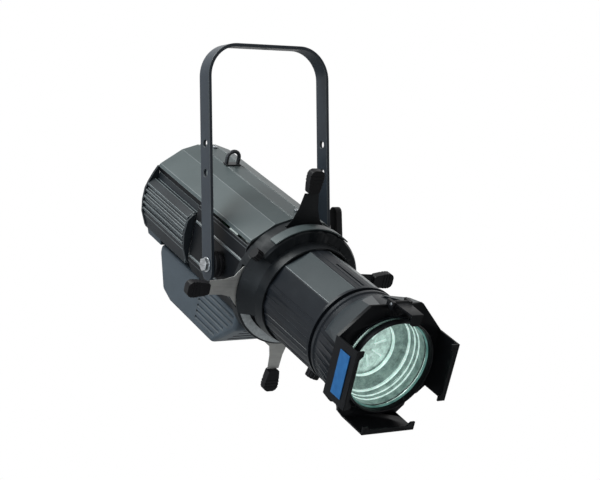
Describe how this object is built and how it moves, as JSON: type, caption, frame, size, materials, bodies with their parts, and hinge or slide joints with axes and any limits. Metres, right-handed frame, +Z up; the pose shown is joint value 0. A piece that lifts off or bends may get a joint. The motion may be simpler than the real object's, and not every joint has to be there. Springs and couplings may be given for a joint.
{
  "type": "follow spot",
  "caption": "Black stage profile spotlight in a flat-bar yoke, with framing shutters, turning barrel, focusing lens tube and colour frame holder, hung nose-down.",
  "frame": {"origin": "centre of the clamp bolt hole in the top face of the yoke crossbar", "axes": "+X across to the right seen from the lens side and along the tilt axis, -Y the way the beam leaves, +Z up with the yoke upright and the head tilted nose-down"},
  "size_m": [0.4146, 0.7105, 0.6331],
  "materials": {
    "yoke_paint": "satin powder coat",
    "casting_grey": "satin powder coat on die casting",
    "casting_black": "satin powder coat on die casting",
    "dark_steel": "blackened steel",
    "bright_steel": "bright zinc plated steel",
    "grip_plastic": "black heat-resistant plastic",
    "case_plastic": "dark blue-grey moulded case",
    "bare_aluminium": "bare extruded fins",
    "lens_glass": "clear optical glass",
    "circuit_board": "green laminate",
    "strip_blue": "plain blue strip",
    "display_dark": "dark display window"
  },
  "bodies": {
    "yoke": {"yoke": "yoke_paint"},
    "housing": {"pivot_bolt_left": "bright_steel", "pivot_bolt_right": "bright_steel", "pivot_washer_left": "grip_plastic", "pivot_washer_right": "grip_plastic", "side_panel_left": "casting_grey", "side_panel_right": "casting_grey", "side_cover_left": "casting_grey", "side_cover_right": "casting_grey", "top_cover": "casting_grey", "rear_tray": "case_plastic", "lower_case": "case_plastic", "bulkhead": "casting_black", "rear_panel": "grip_plastic", "display": "display_dark", "power_in": "grip_plastic", "data_in": "grip_plastic", "data_out": "grip_plastic", "power_out": "grip_plastic", "heat_sink": "bare_aluminium", "fan_frame": "grip_plastic", "led_board": "circuit_board", "mixing_optic": "lens_glass", "power_supply": "bare_aluminium", "control_board": "circuit_board", "safety_loop": "dark_steel", "cover_screw_1": "bright_steel", "cover_screw_2": "bright_steel"},
    "tilt_lever": {"tilt_lever": "grip_plastic"},
    "fan_rotor": {"fan_rotor": "grip_plastic"},
    "button_1": {"button_1": "grip_plastic"},
    "button_2": {"button_2": "grip_plastic"},
    "button_3": {"button_3": "grip_plastic"},
    "button_4": {"button_4": "grip_plastic"},
    "barrel": {"gate_plate": "casting_black", "gate_hood": "casting_grey", "barrel_shell": "casting_black"},
    "slot_cover": {"slot_cover": "casting_grey"},
    "barrel_lock_knob": {"barrel_lock_knob": "grip_plastic"},
    "shutter_top": {"shutter_blade_top": "dark_steel", "shutter_grip_top": "grip_plastic"},
    "shutter_bottom": {"shutter_blade_bottom": "dark_steel", "shutter_grip_bottom": "grip_plastic"},
    "shutter_left": {"shutter_blade_left": "dark_steel", "shutter_grip_left": "grip_plastic"},
    "shutter_right": {"shutter_blade_right": "dark_steel", "shutter_grip_right": "grip_plastic"},
    "lens_tube": {"lens_tube": "casting_black", "front_lens": "lens_glass", "rear_lens": "lens_glass", "lens_rim": "casting_black", "accessory_holder": "casting_black", "clip_pin": "bright_steel", "label_strip": "strip_blue"},
    "frame_clip": {"frame_clip": "dark_steel"},
    "focus_knob": {"focus_knob": "grip_plastic"}
  },
  "joints": [
    {"name": "head_tilt", "type": "hinge", "parent": "yoke", "child": "housing", "pos_m": [0, 0, -0.377], "axis": [1, 0, 0], "range_deg": [-53, 66]},
    {"name": "tilt_lever_turn", "type": "hinge", "parent": "housing", "child": "tilt_lever", "pos_m": [0.15, 0, -0.377], "axis": [1, 0, 0], "range_deg": [-60, 25]},
    {"name": "fan_spin", "type": "hinge", "parent": "housing", "child": "fan_rotor", "pos_m": [0, 0.21124, -0.28602], "axis": [0, -0.9184, -0.3955], "continuous": true},
    {"name": "barrel_turn", "type": "hinge", "parent": "housing", "child": "barrel", "pos_m": [0, 0, -0.377], "axis": [0, -0.9184, -0.3955], "range_deg": [-25, 25]},
    {"name": "slot_cover_slide", "type": "hinge", "parent": "barrel", "child": "slot_cover", "pos_m": [0, -0.09827, -0.41932], "axis": [0, -0.9184, -0.3955], "range_deg": [-60, 0]},
    {"name": "barrel_lock_turn", "type": "hinge", "parent": "barrel", "child": "barrel_lock_knob", "pos_m": [-0.09285, -0.12305, -0.3618], "axis": [-0.829, -0.2212, 0.5136], "range_deg": [-180, 180]},
    {"name": "shutter_top_slide", "type": "slide", "parent": "barrel", "child": "shutter_top", "axis": [0, 0.3955, -0.9184], "range_m": [0, 0.05]},
    {"name": "shutter_bottom_slide", "type": "slide", "parent": "barrel", "child": "shutter_bottom", "axis": [0, -0.3955, 0.9184], "range_m": [0, 0.05]},
    {"name": "shutter_left_slide", "type": "slide", "parent": "barrel", "child": "shutter_left", "axis": [1, 0, 0], "range_m": [0, 0.05]},
    {"name": "shutter_right_slide", "type": "slide", "parent": "barrel", "child": "shutter_right", "axis": [-1, 0, 0], "range_m": [0, 0.05]},
    {"name": "focus_slide", "type": "slide", "parent": "barrel", "child": "lens_tube", "axis": [0, -0.9184, -0.3955], "range_m": [-0.006, 0.035]},
    {"name": "focus_knob_turn", "type": "hinge", "parent": "lens_tube", "child": "focus_knob", "pos_m": [-0.02281, -0.18079, -0.54627], "axis": [-0.2622, 0.3817, -0.8863], "range_deg": [-180, 180]},
    {"name": "frame_clip_turn", "type": "hinge", "parent": "lens_tube", "child": "frame_clip", "pos_m": [0, -0.38332, -0.42994], "axis": [1, 0, 0], "range_deg": [-100, 0]},
    {"name": "button_1_press", "type": "slide", "parent": "housing", "child": "button_1", "axis": [0, -0.9184, -0.3955], "range_m": [0, 0.0015], "stiffness_N_per_m": 250},
    {"name": "button_2_press", "type": "slide", "parent": "housing", "child": "button_2", "axis": [0, -0.9184, -0.3955], "range_m": [0, 0.0015], "stiffness_N_per_m": 250},
    {"name": "button_3_press", "type": "slide", "parent": "housing", "child": "button_3", "axis": [0, -0.9184, -0.3955], "range_m": [0, 0.0015], "stiffness_N_per_m": 250},
    {"name": "button_4_press", "type": "slide", "parent": "housing", "child": "button_4", "axis": [0, -0.9184, -0.3955], "range_m": [0, 0.0015], "stiffness_N_per_m": 250}
  ]
}
